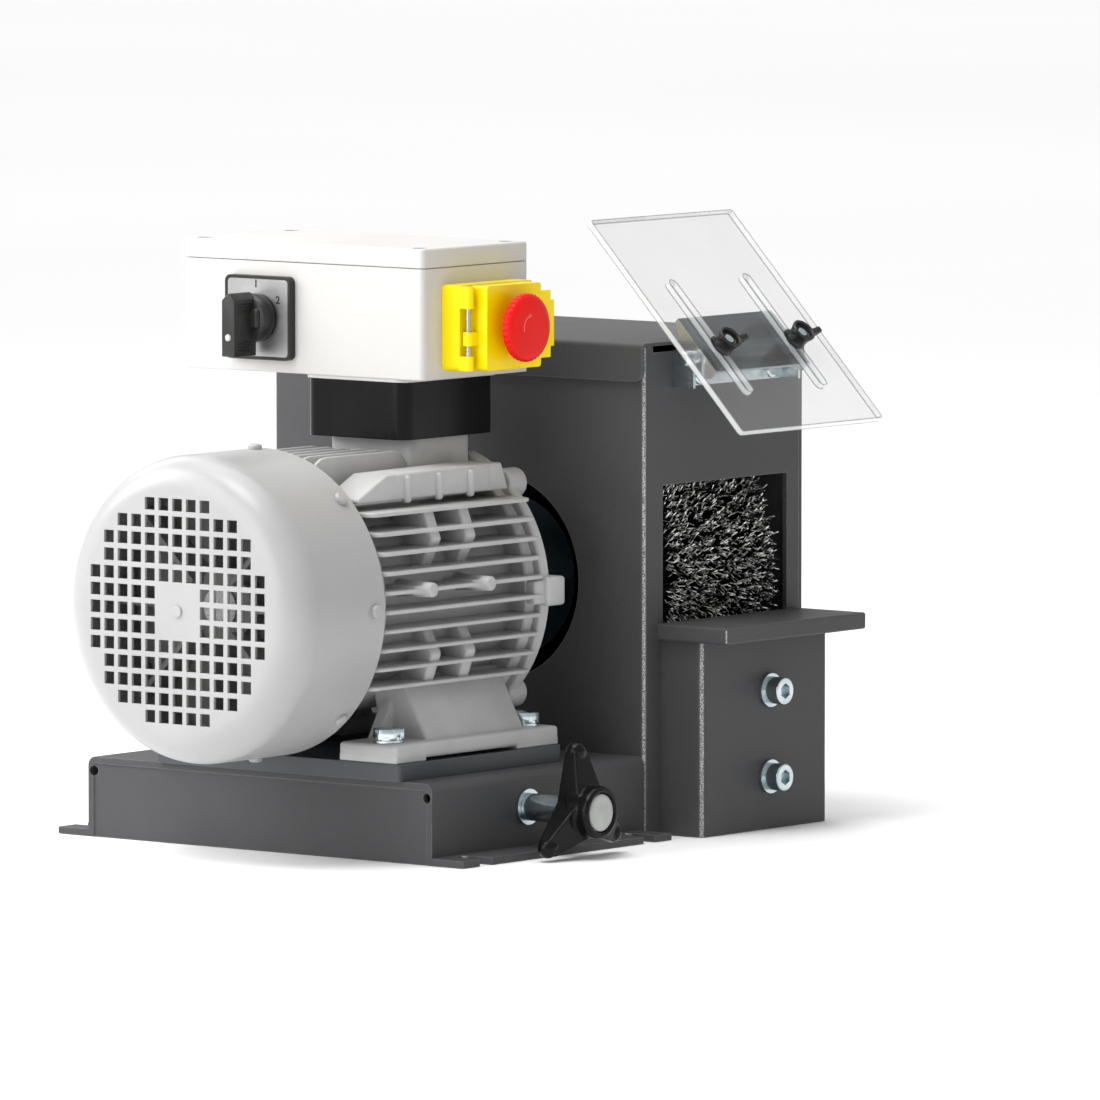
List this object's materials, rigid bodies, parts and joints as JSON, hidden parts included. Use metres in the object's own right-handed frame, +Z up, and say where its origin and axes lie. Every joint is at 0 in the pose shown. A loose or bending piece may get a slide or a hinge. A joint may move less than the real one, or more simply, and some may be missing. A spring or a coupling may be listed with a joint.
{
  "type": "bench brush grinder",
  "caption": "Bench machine with a finned motor driving a wide wire brush in a sheet housing, with feed knob, work rest, tilting clear shield, selector switch and stop button.",
  "frame": {"origin": "middle of the whole machine's footprint, at bench level", "axes": "+X from the motor's fan end to the brush end, +Y from the operator to the back, +Z up"},
  "size_m": [0.4494, 0.3494, 0.3587],
  "materials": {
    "anthracite_powder_coat": "fine-textured powder coat, worn bright on the bends",
    "dark_plate_paint": "satin dark paint",
    "motor_casting_paint": "light grey semi-gloss paint on cast aluminium",
    "fan_cover_paint": "light grey semi-gloss paint on pressed sheet",
    "off_white_plastic": "fine satin moulding",
    "black_gloss_plastic": "glossy moulding",
    "black_satin_plastic": "satin moulding",
    "yellow_plastic": "glossy moulding",
    "red_plastic": "glossy moulding",
    "green_plastic": "glossy moulding",
    "dark_grey_plastic": "satin moulding",
    "fan_plastic": "plain moulding",
    "brushed_aluminium": "brushed",
    "clear_panel": "clear polycarbonate with polished edges",
    "bristle_wire": "crimped steel wire",
    "black_hub_paint": "satin paint",
    "copper_winding": "varnished copper",
    "core_steel": "laminated electrical steel",
    "bright_zinc": "bright zinc plate",
    "plain_steel": "turned steel"
  },
  "bodies": {
    "root": {"base_frame": "anthracite_powder_coat", "spindle_bush": "bright_zinc", "housing_shell": "anthracite_powder_coat", "housing_side_cover": "anthracite_powder_coat", "housing_lid": "anthracite_powder_coat", "cover_screws": "bright_zinc", "work_rest_bracket": "anthracite_powder_coat", "work_rest_table": "anthracite_powder_coat", "rest_bolts": "bright_zinc", "shield_bracket": "bright_zinc", "shield_bracket_screws": "bright_zinc"},
    "carriage": {"slide_plate": "dark_plate_paint", "hold_down_strips": "plain_steel", "hold_down_screws": "bright_zinc", "spindle_nut": "plain_steel", "motor_frame": "motor_casting_paint", "motor_foot_bolts": "bright_zinc", "stator_core": "core_steel", "stator_windings": "copper_winding", "drive_end_shield": "motor_casting_paint", "fan_end_shield": "motor_casting_paint", "drive_end_bearing": "plain_steel", "fan_end_bearing": "plain_steel", "fan_cover": "fan_cover_paint", "fan_cover_screws": "fan_cover_paint", "terminal_adapter": "black_gloss_plastic", "control_box_body": "off_white_plastic", "control_box_lid": "off_white_plastic", "control_box_screws": "bright_zinc", "cable_gland": "black_satin_plastic", "switch_frame": "black_satin_plastic", "switch_plate": "brushed_aluminium", "switch_body": "black_satin_plastic", "estop_base": "yellow_plastic"},
    "rotor": {"motor_shaft": "plain_steel", "rotor_core": "core_steel", "shaft_key": "plain_steel", "cooling_fan": "fan_plastic", "brush_arbor": "plain_steel", "brush_inner_flange": "bright_zinc", "brush_core": "black_hub_paint", "brush_bristles": "bristle_wire", "brush_outer_flange": "bright_zinc", "brush_nut": "bright_zinc"},
    "spindle": {"feed_spindle": "plain_steel", "spindle_spacer": "bright_zinc", "star_knob": "black_gloss_plastic", "knob_cap": "dark_grey_plastic"},
    "switch": {"switch_knob": "black_satin_plastic"},
    "stop_flap": {"estop_flap": "yellow_plastic", "estop_hinge_pin": "plain_steel"},
    "stop_mushroom": {"estop_button": "red_plastic"},
    "start_push": {"start_button": "green_plastic"},
    "stop_push": {"stop_button": "red_plastic"},
    "tilt_carrier": {"tilt_plate": "bright_zinc", "tilt_pivot_screws": "bright_zinc", "clamp_bolts": "bright_zinc"},
    "shield": {"shield_panel": "clear_panel"},
    "left_wing_nut": {"wing_nut_left": "black_satin_plastic"},
    "right_wing_nut": {"wing_nut_right": "black_satin_plastic"}
  },
  "joints": [
    {"name": "carriage_slide", "type": "slide", "parent": "root", "child": "carriage", "axis": [0, 1, 0], "range_m": [0, 0.02402]},
    {"name": "spindle_turn", "type": "hinge", "parent": "root", "child": "spindle", "pos_m": [-0.04, -0.16687, 0.027], "axis": [0, -1, 0], "range_deg": [0, 4320]},
    {"name": "rotor_spin", "type": "hinge", "parent": "carriage", "child": "rotor", "pos_m": [-0.2235, -0.00087, 0.147], "axis": [1, 0, 0], "continuous": true},
    {"name": "switch_turn", "type": "hinge", "parent": "carriage", "child": "switch", "pos_m": [-0.0945, 0.06673, 0.3043], "axis": [1, 0, 0], "range_deg": [-60, 60]},
    {"name": "stop_flap_swing", "type": "hinge", "parent": "carriage", "child": "stop_flap", "pos_m": [-0.0445, -0.07087, 0.3024], "axis": [0, 0, -1], "range_deg": [0, 110]},
    {"name": "stop_mushroom_press", "type": "slide", "parent": "stop_flap", "child": "stop_mushroom", "axis": [0, 1, 0], "range_m": [0, 0.004], "stiffness_N_per_m": 800, "springref_m": -0.002},
    {"name": "start_button_press", "type": "slide", "parent": "carriage", "child": "start_push", "axis": [0, 1, 0], "range_m": [0, 0.003], "stiffness_N_per_m": 600, "springref_m": -0.001},
    {"name": "stop_button_press", "type": "slide", "parent": "carriage", "child": "stop_push", "axis": [0, 1, 0], "range_m": [0, 0.003], "stiffness_N_per_m": 600, "springref_m": -0.001},
    {"name": "shield_tilt", "type": "hinge", "parent": "root", "child": "tilt_carrier", "pos_m": [0.1485, -0.12087, 0.279], "axis": [1, 0, 0], "range_deg": [-6, 40]},
    {"name": "shield_height", "type": "slide", "parent": "tilt_carrier", "child": "shield", "axis": [0, -0.6896, -0.7242], "range_m": [-0.029, 0.049]},
    {"name": "left_wing_nut_turn", "type": "hinge", "parent": "tilt_carrier", "child": "left_wing_nut", "pos_m": [0.1147, -0.13521, 0.28759], "axis": [0, -0.7242, 0.6896], "range_deg": [-180, 180]},
    {"name": "right_wing_nut_turn", "type": "hinge", "parent": "tilt_carrier", "child": "right_wing_nut", "pos_m": [0.1853, -0.13521, 0.28759], "axis": [0, -0.7242, 0.6896], "range_deg": [-180, 180]}
  ],
  "couplings": [
    {"joint": "spindle_turn", "follows": "carriage_slide", "rad_per_m": 3141.6}
  ]
}
